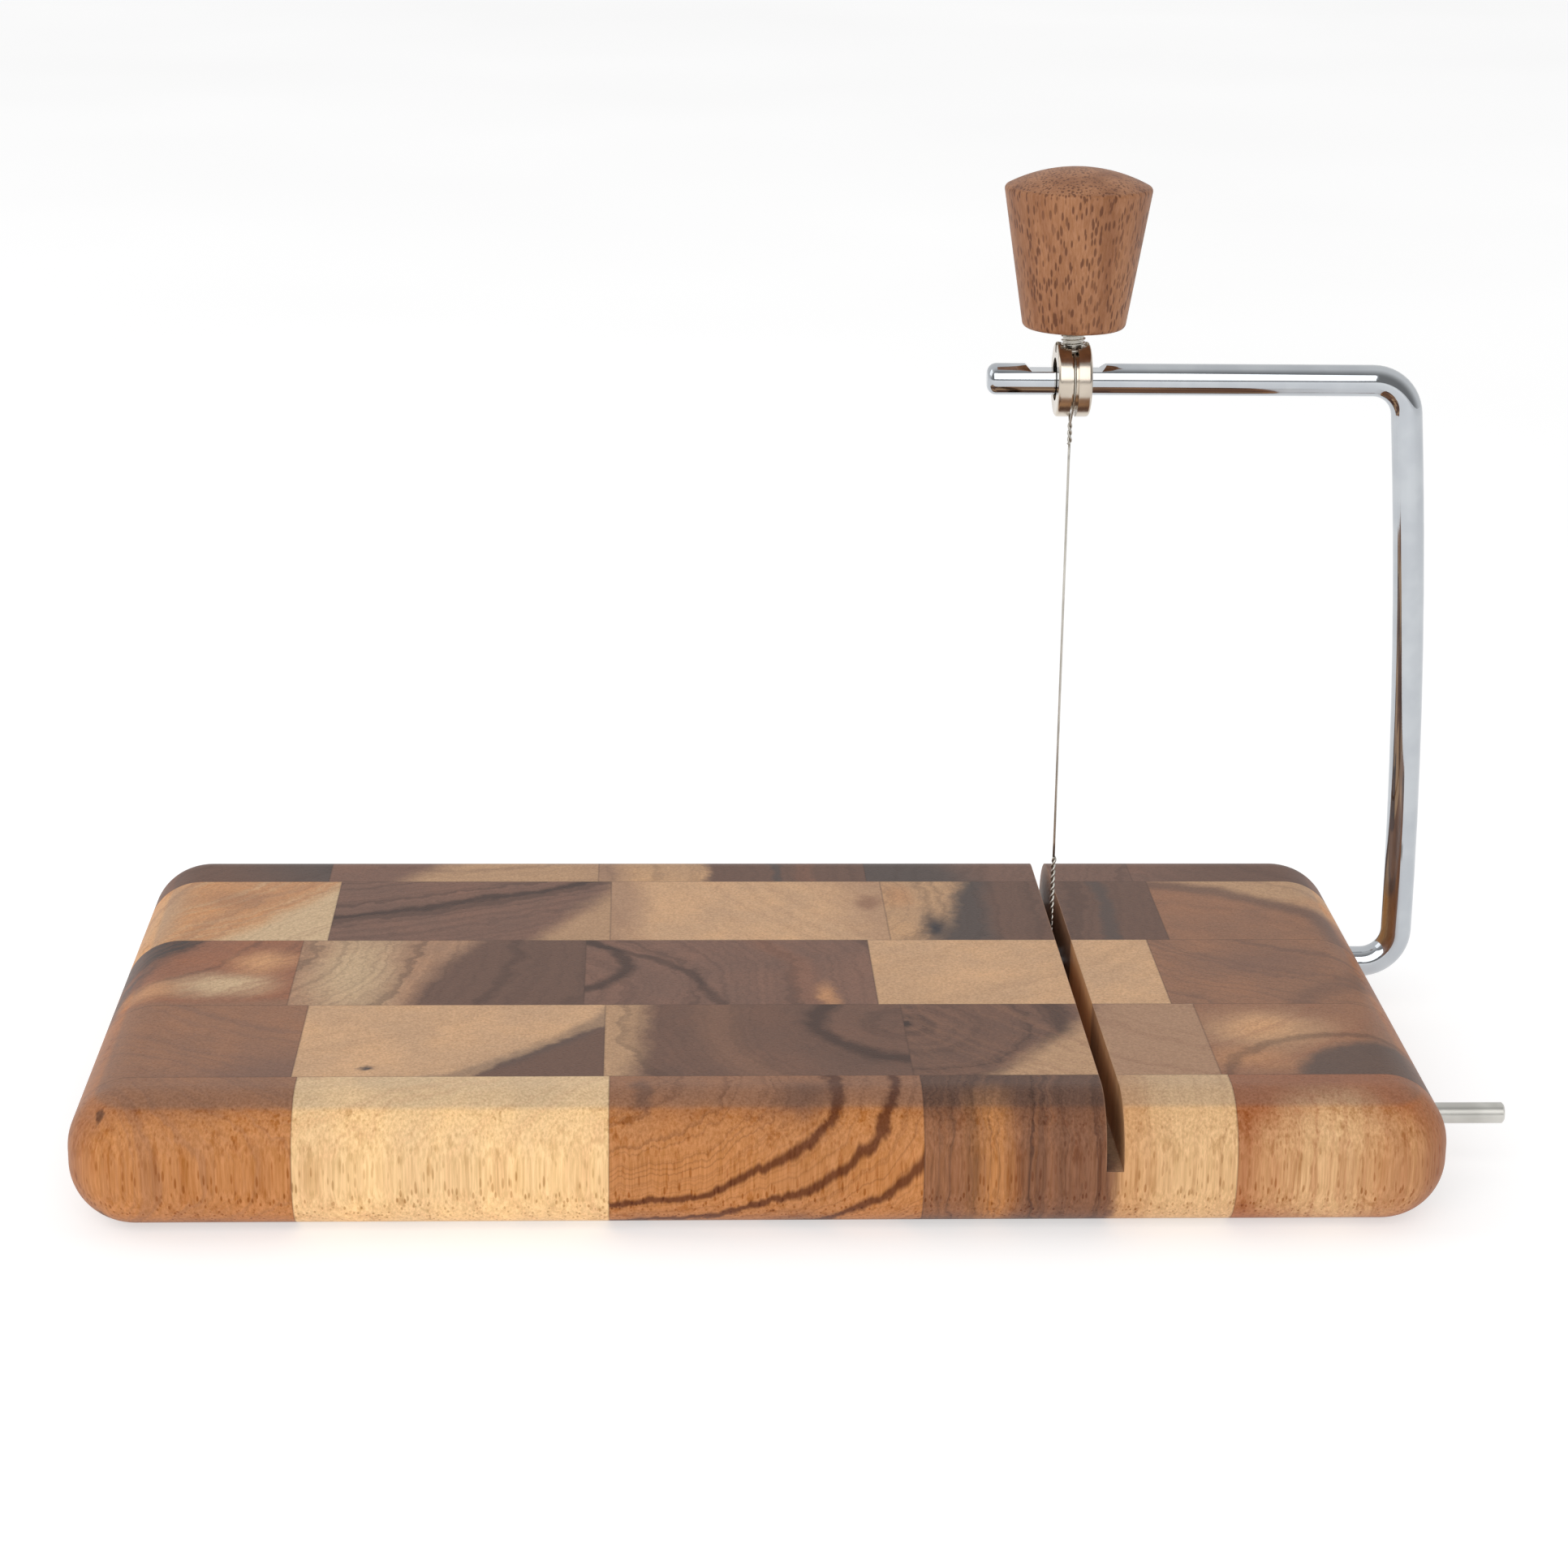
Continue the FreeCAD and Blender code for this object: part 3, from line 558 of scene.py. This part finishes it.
def twist(centre, start, end, phase, taper):
    """One strand of a twisted pair from height start to height end on the wire's line.

    The strand that carries on as the span eases onto the line; the other strand goes round it.
    """
    per_turn, easing = 14, 0.0012
    count = max(2, round(abs(end - start) / TWIST_PITCH * per_turn))
    points = []
    for index in range(count + 1):
        height = start + (end - start) * index / count
        left = abs(end - height)
        ease = min(1.0, left / easing)
        radius = LAY * ease if taper else LAY * (2.0 - ease)
        angle = phase + 2 * math.pi * abs(height - start) / TWIST_PITCH
        points.append(Vector((centre.x + radius * math.cos(angle),
                              centre.y + radius * math.sin(angle), height)))
    return points


def arc(centre, radius, first, last, count):
    """Points in the wire's plane; angles in degrees from straight down over the back."""
    points = []
    for index in range(count + 1):
        angle = math.radians(first + (last - first) * index / count)
        points.append(centre + Vector((0.0, radius * math.sin(angle), -radius * math.cos(angle))))
    return points


def lower_end():
    """Wire doubled round the pivot leg, its ends twisted together above it."""
    # from the pivot up to where the two strands meet
    fork = 0.0052
    leave = math.degrees(math.acos(LOOP_RADIUS / fork))
    back = twist(line, pivot.z + fork, lower_high.z, math.pi / 2, True)
    front = twist(line, pivot.z + fork, lower_high.z, -math.pi / 2, False)
    path = back[::-1] + arc(pivot, LOOP_RADIUS, 180 - leave, leave - 180, 40) + front
    bm = bmesh.new()
    tube(bm, path, WIRE)
    return finished(bm, "wire_lower_loop_and_twist", wire_steel, "arm", "steel_wire",
                    "wire_lower_end")


def upper_end():
    """Wire doubled over the collar in its groove, wrapped round the stud's foot."""
    # from the collar's axis down to where the two strands meet
    fork = 0.0089
    leave = math.degrees(math.acos(GROOVE_RADIUS / fork))
    arrive = math.degrees(math.asin(EYE_RADIUS / GROOVE_RADIUS))
    back = twist(line, collar_axis.z - fork, upper_low.z, math.pi / 2, True)
    front = twist(line, collar_axis.z - fork, upper_low.z, -math.pi / 2, False)
    eye_height = collar_axis.z + math.sqrt(GROOVE_RADIUS ** 2 - EYE_RADIUS ** 2)
    steps, rise = 48, 0.00055
    wrap = []
    for index in range(1, steps):
        angle = math.pi / 2 + 3 * math.pi * index / steps
        wrap.append(Vector((line.x + EYE_RADIUS * math.cos(angle),
                            line.y + EYE_RADIUS * math.sin(angle),
                            eye_height + rise * math.sin(math.pi * index / steps))))
    path = back[::-1] + arc(collar_axis, GROOVE_RADIUS, leave, 180 - arrive, 26)
    path += wrap + arc(collar_axis, GROOVE_RADIUS, arrive - 180, -leave, 26) + front
    bm = bmesh.new()
    tube(bm, path, WIRE)
    return finished(bm, "wire_upper_loop_and_twist", wire_steel, "collar", "steel_wire",
                    "wire_upper_end")


def free_span():
    """Single straight strand along the wire's line between the two twists, reaching a little into
    each.
    """
    overlap, steps = 0.0003, 24
    low, high = span_low.z - overlap, span_high.z + overlap
    points = [Vector((line.x, line.y, low + (high - low) * index / steps))
              for index in range(steps + 1)]
    bm = bmesh.new()
    tube(bm, points, WIRE, 12)
    piece = finished(bm, "wire_free_span", wire_steel, None, "steel_wire", "wire_span")
    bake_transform(piece)
    return piece


def threaded_stud():
    """Stud with chamfered ends and a rolled thread, run up into the knob."""
    low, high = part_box("knob_stud")
    root, crest, pitch, chamfer, sunk = 0.00206, 0.00248, 0.0008, 0.0005, 0.0001
    bm = bmesh.new()
    profile = [(0.0, low.z), (root - chamfer, low.z), (root, low.z + chamfer),
               (root, high.z - chamfer), (root - chamfer, high.z), (0.0, high.z)]
    verts = [bm.verts.new((line.x + x, line.y, z)) for x, z in profile]
    edges = [bm.edges.new(pair) for pair in zip(verts, verts[1:])]
    bmesh.ops.spin(bm, geom=verts + edges, cent=line, axis=(0, 0, 1), angle=2 * math.pi,
                   steps=32, use_merge=True)
    lead_in = 0.0004
    start = low.z + lead_in
    turns, per_turn = 11, 26
    corners = [(root - sunk, start), (crest, start + 0.36 * pitch), (crest, start + 0.52 * pitch),
               (root - sunk, start + 0.88 * pitch)]
    verts = [bm.verts.new((line.x + x, line.y, z)) for x, z in corners]
    edges = [bm.edges.new(pair) for pair in zip(verts, verts[1:] + verts[:1])]
    first = list(edges)
    swept = bmesh.ops.spin(bm, geom=verts + edges, cent=line, axis=(0, 0, 1),
                           dvec=(0, 0, pitch / per_turn), angle=2 * math.pi * turns,
                           steps=per_turn * turns)
    last = [part for part in swept["geom_last"] if isinstance(part, bmesh.types.BMEdge)]
    for loop in (first, last):
        bmesh.ops.contextual_create(bm, geom=loop)
    return finished(bm, "knob_stud_threaded", stud_steel, "knob", "plated_steel", "knob_stud",
                    smooth=False)


lower_end()
upper_end()
free_span()
threaded_stud()


# ---------------------------------------------------------------------------
# Floor, light and camera
# ---------------------------------------------------------------------------
def floor():
    """Plain pale floor, wide enough that its edge stays out of the views from behind."""
    half_size, drop = 20.0, 0.0002
    bm = bmesh.new()
    bmesh.ops.create_grid(bm, x_segments=1, y_segments=1, size=half_size)
    bmesh.ops.translate(bm, vec=(0.0, 0.0, -drop), verts=bm.verts)
    mesh = bpy.data.meshes.new("pale_floor")
    bm.to_mesh(mesh)
    bm.free()
    ground = bpy.data.objects.new("pale_floor", mesh)
    bpy.context.scene.collection.objects.link(ground)
    finish = Finish("pale_floor")
    mottle = finish.noise(finish.place, 400.0, 2.0)
    pale = finish.mix(mottle, (0.56, 0.56, 0.56, 1), (0.60, 0.60, 0.60, 1))
    finish.set(Base_Color=pale, Roughness=0.9, Specular_IOR_Level=0.05,
               Emission_Color=pale, Emission_Strength=0.95)
    mesh.materials.append(finish.material)


def softbox(name, place, target, width, depth, power):
    light = bpy.data.lights.new(name, "AREA")
    light.shape, light.size, light.size_y, light.energy = "RECTANGLE", width, depth, power
    lamp = bpy.data.objects.new(name, light)
    bpy.context.scene.collection.objects.link(lamp)
    way = Vector(target) - Vector(place)
    lamp.matrix_world = Matrix.Translation(place) @ way.to_track_quat("-Z", "Y").to_matrix().to_4x4()


def studio():
    """Pale behind and overhead, darker on the camera's side."""
    world = bpy.data.worlds.new("studio")
    bpy.context.scene.world = world
    world.use_nodes = True
    tree = world.node_tree
    coord = tree.nodes.new("ShaderNodeTexCoord")
    split = tree.nodes.new("ShaderNodeSeparateXYZ")
    shade = tree.nodes.new("ShaderNodeMapRange")
    shade.interpolation_type = "SMOOTHSTEP"
    shade.inputs["From Min"].default_value = -0.75
    shade.inputs["From Max"].default_value = 0.25
    shade.inputs["To Min"].default_value = 0.25
    shade.inputs["To Max"].default_value = 0.85
    tree.links.new(coord.outputs["Generated"], split.inputs[0])
    tree.links.new(split.outputs["Y"], shade.inputs["Value"])
    tree.links.new(shade.outputs["Result"], tree.nodes["Background"].inputs["Color"])
    tree.nodes["Background"].inputs["Strength"].default_value = 1.0


def camera():
    """Lens and stance of the product view: a little left of centre, looking down on the board."""
    pitch, yaw, roll = math.radians(17.63), math.radians(2.42), math.radians(0.77)
    forward = Vector((math.sin(yaw) * math.cos(pitch), math.cos(yaw) * math.cos(pitch),
                      -math.sin(pitch)))
    level = Vector((math.cos(yaw), -math.sin(yaw), 0.0))
    upright = level.cross(forward)
    right = math.cos(roll) * level + math.sin(roll) * upright
    top = -math.sin(roll) * level + math.cos(roll) * upright
    data = bpy.data.cameras.new("product_camera")
    data.sensor_width, data.lens = 36.0, 81.4
    eye = bpy.data.objects.new("product_camera", data)
    bpy.context.scene.collection.objects.link(eye)
    stance = Matrix((right, top, -forward)).transposed().to_4x4()
    eye.matrix_world = Matrix.Translation((-0.0223, -0.6633, 0.2752)) @ stance
    bpy.context.scene.camera = eye


floor()
studio()
softbox("front_softbox", (-0.25, -1.45, 0.98), (0.0, 0.0, 0.05), 1.7, 1.4, 16.0)
softbox("left_softbox", (-1.3, 0.1, 0.9), (0.0, 0.0, 0.05), 0.9, 0.9, 2.5)
camera()
bpy.context.scene.view_settings.view_transform = "Standard"
